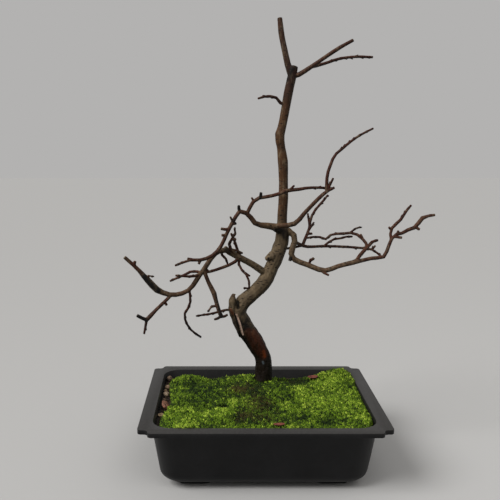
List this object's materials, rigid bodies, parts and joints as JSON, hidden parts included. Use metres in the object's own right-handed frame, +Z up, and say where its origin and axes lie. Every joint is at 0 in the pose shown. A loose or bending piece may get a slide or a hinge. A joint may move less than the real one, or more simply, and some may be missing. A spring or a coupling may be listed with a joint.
{
  "type": "potted bonsai tree",
  "caption": "Leafless bonsai tree with a curved trunk and fine twigs, growing from moss in a rectangular black plastic training pot.",
  "frame": {"origin": "middle of the underside of the pot, on the face of its round centre pad", "axes": "+Z up, the trunk grows along it; +X along the pot's length, towards the long lower right limb; +Y towards the back of the pot"},
  "size_m": [0.3696, 0.22, 0.5223],
  "materials": {
    "pot_plastic": "black injection-moulded plastic, satin",
    "screen_plastic": "dark green plastic mesh",
    "soil": "dark moist crumb of clay granules and bark",
    "bark": "smooth grey-brown living bark, reddish on the twigs",
    "moss": "living cushion moss, matt green with lime tips",
    "pebble": "dusty tan gravel",
    "bark_flake": "reddish-brown bark flake",
    "wood_flake": "pale weathered wood flake",
    "dry_leaf": "fallen reddish-brown leaf, dry"
  },
  "bodies": {
    "root": {"pot": "pot_plastic", "drain_screen_left": "screen_plastic", "drain_screen_right": "screen_plastic", "soil": "soil", "tree": "bark", "moss_back_left": "moss", "moss_front_left": "moss", "moss_centre": "moss", "moss_right": "moss", "moss_back_right": "moss", "pebble_back": "pebble", "pebble_broad": "pebble", "pebble_tan": "pebble", "pebble_pale": "pebble", "pebble_small": "pebble", "bark_chip": "bark_flake", "wood_chip": "wood_flake", "leaf_back": "dry_leaf", "leaf_front": "dry_leaf"}
  },
  "joints": []
}
